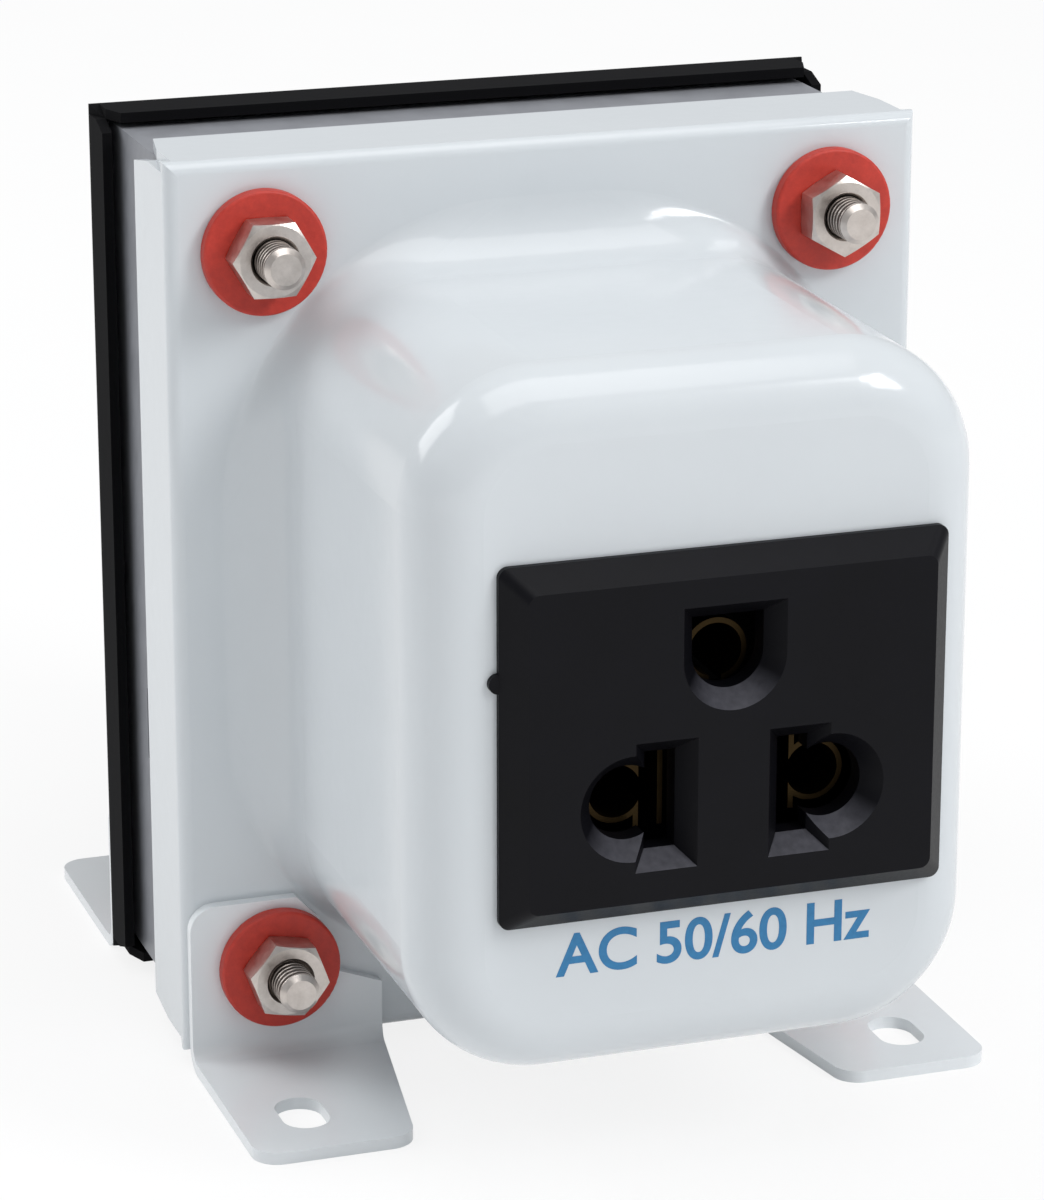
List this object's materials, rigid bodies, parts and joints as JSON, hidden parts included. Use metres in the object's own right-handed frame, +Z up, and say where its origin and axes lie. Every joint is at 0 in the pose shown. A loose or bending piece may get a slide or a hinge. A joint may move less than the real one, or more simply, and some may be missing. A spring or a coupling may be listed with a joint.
{
  "type": "voltage transformer",
  "caption": "Step-down voltage transformer: a laminated core clamped between two pressed covers with drawn bells, a socket on the front, standing on bent sheet feet.",
  "frame": {"origin": "on the floor, under the middle of the whole part's box", "axes": "+Z up, front with the socket at -Y, +X to the right as seen from the front"},
  "size_m": [0.0754, 0.1224, 0.0904],
  "materials": {
    "front_paint": "semi-gloss light grey paint",
    "rear_paint": "gloss black paint",
    "core_steel": "bare cut edges of sheet",
    "bobbin_plastic": "moulded, natural colour",
    "winding_copper": "varnished copper wire",
    "coil_paper": "insulating paper",
    "coil_tape": "polyester tape",
    "tinned_brass": "tinned",
    "fuse_can": "drawn can",
    "plated_steel": "zinc plated",
    "sleeve_plastic": "thin insulating tube",
    "red_fibre": "vulcanised fibre",
    "foot_paint": "semi-gloss light grey paint",
    "socket_plastic": "moulded, fine satin",
    "contact_brass": "bright, rolled",
    "brown_insulation": "pvc insulation",
    "blue_insulation": "pvc insulation",
    "green_insulation": "pvc insulation",
    "grommet_rubber": "moulded"
  },
  "bodies": {
    "root": {"front_cover": "front_paint", "rear_cover": "rear_paint", "e_laminations": "core_steel", "i_laminations": "core_steel", "bobbin": "bobbin_plastic", "inner_winding": "winding_copper", "interlayer_insulation": "coil_paper", "outer_winding": "winding_copper", "outer_wrap": "coil_tape", "output_tags": "tinned_brass", "input_tags": "tinned_brass", "thermal_fuse": "fuse_can", "through_bolts": "plated_steel", "front_nuts": "plated_steel", "bolt_sleeves": "sleeve_plastic", "front_washers": "red_fibre", "rear_washers": "red_fibre", "front_left_foot": "foot_paint", "front_right_foot": "foot_paint", "rear_left_foot": "foot_paint", "rear_right_foot": "foot_paint", "socket_housing": "socket_plastic", "socket_back_plate": "socket_plastic", "live_contact": "contact_brass", "neutral_contact": "contact_brass", "earth_contact": "contact_brass", "live_lead": "brown_insulation", "neutral_lead": "blue_insulation", "earth_lead": "green_insulation", "cord_grommet": "grommet_rubber"}
  },
  "joints": []
}
